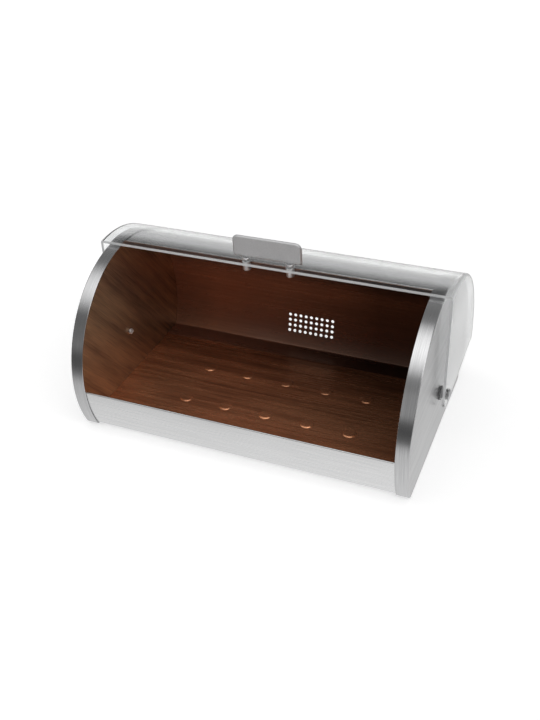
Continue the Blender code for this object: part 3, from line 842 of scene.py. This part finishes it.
def plate_outline(inset):
    """(x, height) round the tab, with larger corners at the top than at the bottom."""
    half = (PLATE_HIGH.x - PLATE_LOW.x) / 2 - inset
    low, high = inset, HANDLE_HEIGHT - inset
    upper, lower = 7 * MM - inset, 2.6 * MM - inset
    corners = ((half - upper, high - upper, upper, 0), (-half + upper, high - upper, upper, 90),
               (-half + lower, low + lower, lower, 180), (half - lower, low + lower, lower, 270))
    points = []
    for cx, cz, r, start in corners:
        for i in range(11):
            a = math.radians(start + 9 * i)
            points.append((cx + r * math.cos(a), cz + r * math.sin(a)))
    return points


def handle_plate(mat):
    """Upright tab with a steep chamfer all round its two faces."""
    half = HALF_HANDLE
    profile = [(half, 2.2 * MM), (half, 1.75 * MM), (half - 0.10 * MM, 1.55 * MM),
               (half - 1.55 * MM, 0.35 * MM), (half - 1.75 * MM, 0.1 * MM), (half - 1.85 * MM, 0)]
    levels = [(-y, inset) for y, inset in profile] + [(y, inset) for y, inset in reversed(profile)]
    base = LID_RADIUS + STAND_OFF
    rings = [[Vector((x, y, base + z)) for x, z in plate_outline(inset)] for y, inset in levels]
    bores = []
    for _, side in SIDES:
        ends = [Vector((side * STUD_X, 0, base + reach)) for reach in (-1 * MM, STUD_IN_TAB + 1 * MM)]
        bores.append(rod(STUD_BORE, *ends))
    bm = carve(loft(rings), [join(bores)])
    bm.transform(Matrix.Translation(AXIS) @ Matrix.Rotation(math.radians(90 - HANDLE_ANGLE), 4, "X"))
    finish_piece("handle_plate_look", bm, [mat], "lid", sharp=20, weighted=True)


def at_handle(name, side, bm, mat):
    """Stands a turned piece on the lid: its own X runs outwards from the hinge axis."""
    out = Vector((0, *radial(HANDLE_ANGLE, 1)))
    across = Vector((1, 0, 0))
    turn = Matrix((out, across, out.cross(across))).transposed().to_4x4()
    bm.transform(Matrix.Translation(AXIS + Vector((side * STUD_X, 0, 0))) @ turn)
    bmesh.ops.recalc_face_normals(bm, faces=bm.faces)
    finish_piece(name, bm, [mat], "lid")


def handle_fixings(label, side, mats):
    inside = LID_RADIUS - LID_WALL
    plate_base = LID_RADIUS + STAND_OFF
    seal_end = inside - GAP - SEAL_THICKNESS
    nut_face = seal_end - GAP
    stud_end = nut_face - STUD_IN_NUT

    chamfer = 0.3 * MM
    stud_top = plate_base + STUD_IN_TAB
    stud = [(stud_end, STUD_RADIUS - chamfer), (stud_end + chamfer, STUD_RADIUS),
            (stud_top - chamfer, STUD_RADIUS), (stud_top, STUD_RADIUS - chamfer)]
    at_handle(f"handle_stud_{label}_look", side, turned(stud, 32), mats["chrome"])

    spacer = washer_profile(LID_RADIUS + GAP, plate_base - GAP, STUD_BORE, LEG_RADIUS, chamfer)
    at_handle(f"handle_spacer_{label}_look", side, turned(spacer, closed=True), mats["tab"])
    seal = washer_profile(seal_end, inside - GAP, STUD_BORE, LEG_RADIUS, 0.15 * MM)
    at_handle(f"handle_seal_{label}_look", side, turned(seal, closed=True), mats["silicone"])

    dome = 1.8 * MM
    shoulder = nut_face - LEG_LENGTH + dome
    nut = [(stud_end - GAP, STUD_BORE), (nut_face, STUD_BORE), (nut_face, LEG_RADIUS - chamfer),
           (nut_face - chamfer, LEG_RADIUS), (shoulder, LEG_RADIUS)]
    nut += dome_profile(shoulder, -dome, LEG_RADIUS)
    at_handle(f"handle_nut_{label}_look", side, turned(nut), mats["tab"])


# ---- build ---------------------------------------------------------------------------------------------
def build():
    along, upright = (0.02, 1, 1), (1, 0.02, 1)
    # One steel with its brightness set per surface: painted light on the front strip, painted shade on the
    # side faces and on the wrap.
    band = brushed("steel_band", (0.66, 0.66, 0.665), (0.52, 0.52, 0.525), 0.24, upright, rolled=True,
                   smooth_way=0.85)
    face = brushed("steel_side", (0.60, 0.60, 0.60), (0.48, 0.48, 0.485), 0.34, upright)
    strip = brushed("steel_strip_painted_light", (0.81, 0.81, 0.81), (0.75, 0.75, 0.755), 0.28, along, rolled=True)
    outside = brushed("steel_wrap_painted_shade", (0.62, 0.62, 0.62), (0.52, 0.52, 0.525), 0.22, along, rolled=True)
    # The inside pieces carry painted shade: darker towards the back and right on the floor, towards the back
    # on the side walls and towards the right on the back wall.
    # Their brown tones are a painted warm reflection of the bread, which is left out, over brushed steel.
    floor_inside = brushed("inside_floor_painted_reflection", (0.98, 0.46, 0.24), (0.38, 0.155, 0.08), 0.28, along, rolled=True,
                           metallic=0.74, grain_and_painted_reflection_streaks=0.30, painted_shade=((0.4, 0.9, 0), -0.06, 0.10, 0.45))
    back_inside = brushed("inside_back_painted_reflection", (0.50, 0.27, 0.185), (0.36, 0.19, 0.13), 0.30, along, rolled=True,
                          metallic=0.74, grain_and_painted_reflection_streaks=0.12, painted_shade=((1, 0, 0), -0.13, 0.09, 0.24))
    side_inside = brushed("bronze_side", (0.95, 0.62, 0.36), (0.36, 0.215, 0.14), 0.34, upright,
                          turn=(math.radians(-50), 0, 0), metallic=0.74, grain_and_painted_reflection_streaks=0.28,
                          painted_shade=((0, 1, 0), -0.10, 0.05, 0.6))
    clear = clear_plastic("clear_moulding", (0.97, 0.975, 0.975), 0.03)
    frosted = frosted_plastic("frosted_moulding_edge")
    tab = satin("satin_tab", (0.66, 0.66, 0.665), 0.42, 0.9)
    mats = {"tab": tab,
            "chrome": satin("polished_fixing", (0.74, 0.74, 0.76), 0.16, 1.0, bump=0.04),
            "plated": satin("bright_plating", (0.84, 0.84, 0.86), 0.30, 0.35, bump=0.04),
            "satin_steel": satin("satin_screw", (0.66, 0.66, 0.67), 0.38, 1.0, bump=0.05),
            "nylon": satin("black_nylon_moulding", (0.14, 0.14, 0.142), 0.40, 0.0),
            "grey_nylon": satin("grey_nylon_moulding", (0.38, 0.38, 0.385), 0.40, 0.0),
            "silicone": satin("milky_silicone", (0.62, 0.63, 0.64), 0.40, 0.0)}
    rubber = satin("rubber_foot", (0.06, 0.06, 0.062), 0.75, 0.0, grain=400, bump=0.3)

    base_panel(strip, floor_inside)
    rear_panel(outside, back_inside)
    lid_shell([clear, frosted])
    handle_plate(tab)
    for label, side in SIDES:
        side_panel(label, side, band, face, side_inside)
        pivots(label, side, mats)
        handle_fixings(label, side, mats)
        foot(f"front_{label}", side * FOOT_X, AXIS.y - FOOT_Y, rubber)
        foot(f"rear_{label}", side * FOOT_X, AXIS.y + FOOT_Y, rubber)


look_camera()
studio_world()
studio_floor()
bpy.context.scene.view_settings.view_transform = "Standard"
build()
